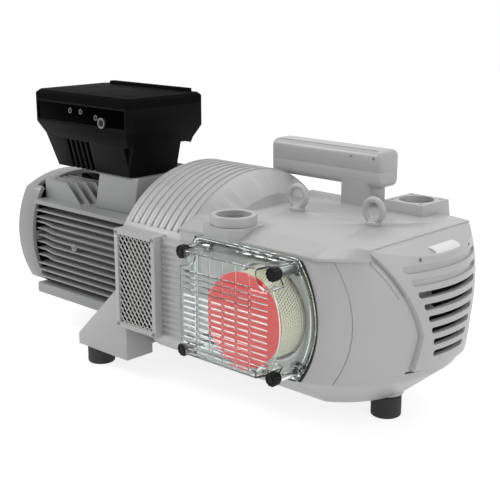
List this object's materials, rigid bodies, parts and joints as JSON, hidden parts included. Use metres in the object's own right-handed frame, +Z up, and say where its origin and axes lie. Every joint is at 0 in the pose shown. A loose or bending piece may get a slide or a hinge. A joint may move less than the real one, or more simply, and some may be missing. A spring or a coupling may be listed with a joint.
{
  "type": "rotary vane compressor",
  "caption": "Direct-driven rotary vane compressor with finned motor, drive on top, clear filter cover and louvred nose.",
  "frame": {"origin": "centre of the underside of the rubber foot under the louvred nose, on the floor", "axes": "+Z up, +X along the shaft from the motor towards the louvred nose, the shaft lies in the plane Y = 0"},
  "size_m": [0.969, 0.4639, 0.486],
  "materials": {
    "casting_grey": "satin light grey paint on cast aluminium",
    "motor_grey": "satin grey paint on cast aluminium",
    "mesh_metal": "zinc-plated expanded metal",
    "drive_black": "fine-grained black moulding",
    "drive_gloss": "satin black moulding",
    "knob_black": "black moulded plastic",
    "clear_plastic": "clear polycarbonate",
    "filter_red": "red moulded cap",
    "filter_paper": "pleated paper",
    "filter_steel": "perforated zinc-plated sheet",
    "rubber_black": "matt black rubber",
    "gasket_rubber": "soft sealing rubber",
    "cast_iron": "machined grey iron",
    "steel": "ground steel",
    "vane_carbon": "self-lubricating graphite composite",
    "aluminium": "cast aluminium",
    "copper": "varnished copper windings",
    "lamination": "stacked steel laminations",
    "spider_plastic": "polyurethane",
    "foam": "open-cell foam"
  },
  "bodies": {
    "frame": {"cover_gasket": "gasket_rubber", "cowl": "casting_grey", "discharge_channel": "aluminium", "discharge_flange": "casting_grey", "drive_connectors": "knob_black", "drive_housing": "drive_black", "drive_lid": "drive_gloss", "end_cover": "casting_grey", "eye_bolts": "casting_grey", "fan_cowl": "motor_grey", "filter_bay": "aluminium", "filter_end_caps": "filter_red", "filter_jacket": "filter_steel", "filter_paper": "filter_paper", "foot_bracket": "casting_grey", "hood": "casting_grey", "motor_end_shield": "motor_grey", "motor_flange": "motor_grey", "motor_housing": "motor_grey", "outlet_mesh_front": "mesh_metal", "outlet_mesh_rear": "mesh_metal", "pan": "casting_grey", "port_block": "casting_grey", "port_ring": "casting_grey", "pump_casing": "casting_grey", "pump_cylinder": "cast_iron", "pump_end_shields": "cast_iron", "rubber_feet": "rubber_black", "shaft_bearings": "steel", "shaft_seals": "gasket_rubber", "side_panels": "casting_grey", "silencer_body": "casting_grey", "silencer_foam": "foam", "silencer_lid": "casting_grey", "stator_core": "lamination", "stator_windings": "copper", "terminal_adapter": "motor_grey", "valve_seat": "aluminium"},
    "motor_rotor": {"motor_shaft": "steel", "rotor_core": "lamination", "motor_fan": "knob_black", "motor_hub": "cast_iron"},
    "pump_rotor_set": {"pump_shaft": "steel", "pump_rotor": "cast_iron", "pump_hub": "cast_iron", "coupling_spider": "spider_plastic", "cooling_fan": "aluminium", "nose_fan": "knob_black"},
    "filter_cover": {"clear_cover": "clear_plastic"},
    "valve": {"valve_disc": "steel"},
    "knob_1": {"cover_knob_1": "knob_black"},
    "knob_2": {"cover_knob_2": "knob_black"},
    "knob_3": {"cover_knob_3": "knob_black"},
    "knob_4": {"cover_knob_4": "knob_black"},
    "vane_body_1": {"vane_1": "vane_carbon"},
    "vane_body_2": {"vane_2": "vane_carbon"},
    "vane_body_3": {"vane_3": "vane_carbon"},
    "vane_body_4": {"vane_4": "vane_carbon"},
    "vane_body_5": {"vane_5": "vane_carbon"},
    "vane_body_6": {"vane_6": "vane_carbon"}
  },
  "joints": [
    {"name": "motor_spin", "type": "hinge", "parent": "frame", "child": "motor_rotor", "pos_m": [-0.6, 0, 0.187], "axis": [1, 0, 0], "continuous": true},
    {"name": "pump_spin", "type": "hinge", "parent": "frame", "child": "pump_rotor_set", "pos_m": [-0.167, 0, 0.187], "axis": [1, 0, 0], "continuous": true},
    {"name": "filter_cover_off", "type": "slide", "parent": "frame", "child": "filter_cover", "axis": [0, -1, 0], "range_m": [0, 0.12]},
    {"name": "valve_lift", "type": "slide", "parent": "frame", "child": "valve", "axis": [0, 0, 1], "range_m": [0, 0.012]},
    {"name": "knob_1_turn", "type": "hinge", "parent": "filter_cover", "child": "knob_1", "pos_m": [-0.227, -0.229, 0.118], "axis": [0, -1, 0], "continuous": true},
    {"name": "knob_2_turn", "type": "hinge", "parent": "filter_cover", "child": "knob_2", "pos_m": [-0.227, -0.229, 0.279], "axis": [0, -1, 0], "continuous": true},
    {"name": "knob_3_turn", "type": "hinge", "parent": "filter_cover", "child": "knob_3", "pos_m": [-0.037, -0.229, 0.118], "axis": [0, -1, 0], "continuous": true},
    {"name": "knob_4_turn", "type": "hinge", "parent": "filter_cover", "child": "knob_4", "pos_m": [-0.037, -0.229, 0.279], "axis": [0, -1, 0], "continuous": true},
    {"name": "vane_1_slide", "type": "slide", "parent": "pump_rotor_set", "child": "vane_body_1", "axis": [0, 1, 0], "range_m": [0, 0.0107]},
    {"name": "vane_2_slide", "type": "slide", "parent": "pump_rotor_set", "child": "vane_body_2", "axis": [0, 0.5, 0.866], "range_m": [0, 0.0011]},
    {"name": "vane_3_slide", "type": "slide", "parent": "pump_rotor_set", "child": "vane_body_3", "axis": [0, -0.5, 0.866], "range_m": [0, 0.0011]},
    {"name": "vane_4_slide", "type": "slide", "parent": "pump_rotor_set", "child": "vane_body_4", "axis": [0, -1, 0], "range_m": [0, 0.0107]},
    {"name": "vane_5_slide", "type": "slide", "parent": "pump_rotor_set", "child": "vane_body_5", "axis": [0, -0.5, -0.866], "range_m": [0, 0.0011]},
    {"name": "vane_6_slide", "type": "slide", "parent": "pump_rotor_set", "child": "vane_body_6", "axis": [0, 0.5, -0.866], "range_m": [0, 0.0011]}
  ],
  "couplings": [
    {"joint": "motor_spin", "follows": "pump_spin", "ratio": 1}
  ]
}
